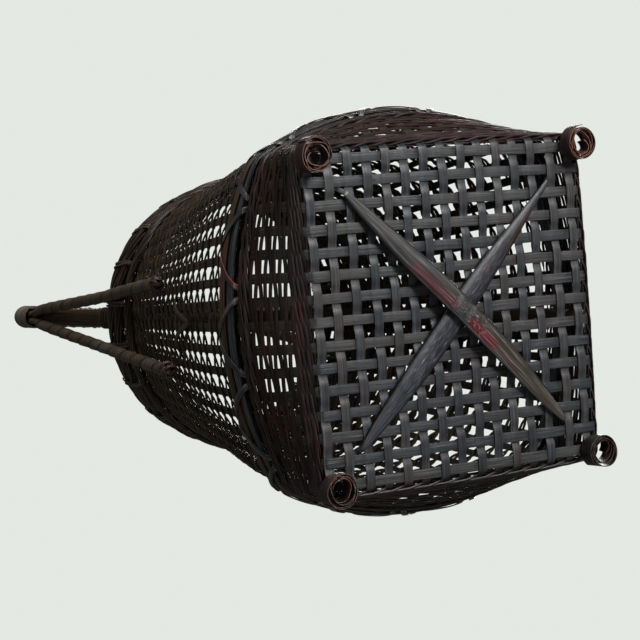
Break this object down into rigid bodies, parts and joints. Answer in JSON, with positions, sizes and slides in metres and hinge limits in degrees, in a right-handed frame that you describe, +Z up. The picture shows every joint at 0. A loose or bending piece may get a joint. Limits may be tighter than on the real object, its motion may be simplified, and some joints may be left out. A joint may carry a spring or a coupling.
{
  "type": "ikebana basket",
  "caption": "Ikebana basket of plaited split bamboo: open square base on rolled feet, full lashed shoulder, round mouth, and a tall bow handle braced by bound side rods.",
  "frame": {"origin": "middle of the square that the four rolled feet stand in, on the floor", "axes": "+Z up from the feet to the handle's crown; X along the handle's span, with its near end at -X; Y across the handle"},
  "size_m": [0.2568, 0.2568, 0.5623],
  "materials": {
    "strip": "blue-black lacquered bamboo, satin",
    "strand": "red-black lacquered bamboo, satin",
    "hoop": "brown split bamboo, satin",
    "bow": "smooth brown bamboo with its skin, satin",
    "wrap": "olive-grey wrapping strip, matte",
    "knot": "rust-brown strip, matte",
    "foot": "copper-brown rolled strip, satin",
    "bar": "dark red split bamboo, satin"
  },
  "bodies": {
    "root": {"strip_x_01": "strip", "strip_x_02": "strip", "strip_x_03": "strip", "strip_x_04": "strip", "strip_x_05": "strip", "strip_x_06": "strip", "strip_x_07": "strip", "strip_x_08": "strip", "strip_x_09": "strip", "strip_x_10": "strip", "strip_x_11": "strip", "strip_x_12": "strip", "strip_x_13": "strip", "strip_x_14": "strip", "strip_x_15": "strip", "strip_y_01": "strip", "strip_y_02": "strip", "strip_y_03": "strip", "strip_y_04": "strip", "strip_y_05": "strip", "strip_y_06": "strip", "strip_y_07": "strip", "strip_y_08": "strip", "strip_y_09": "strip", "strip_y_10": "strip", "strip_y_11": "strip", "strip_y_12": "strip", "strip_y_13": "strip", "strip_y_14": "strip", "strip_y_15": "strip", "lower_strand_a": "strand", "lower_strand_b": "strand", "upper_strand_a": "strand", "upper_strand_b": "strand", "shoulder_hoop_flat": "hoop", "shoulder_hoop_round": "hoop", "shoulder_lashing": "strand", "rim_strand_upper": "strand", "rim_strand_lower": "strand", "rim_hoop_inner": "strand", "collar_strand": "strand", "rim_lashing": "wrap", "handle_core": "bow", "side_rod_front": "wrap", "side_rod_back": "wrap", "handle_binding": "wrap", "core_binding_near": "wrap", "core_binding_far": "wrap", "core_tie_near": "wrap", "core_tie_far": "wrap", "knot_front_near": "knot", "knot_front_far": "knot", "knot_back_near": "knot", "knot_back_far": "knot", "base_bar_inner": "bar", "base_bar_outer": "bar", "foot_front_left": "foot", "foot_front_right": "foot", "foot_back_right": "foot", "foot_back_left": "foot"}
  },
  "joints": []
}
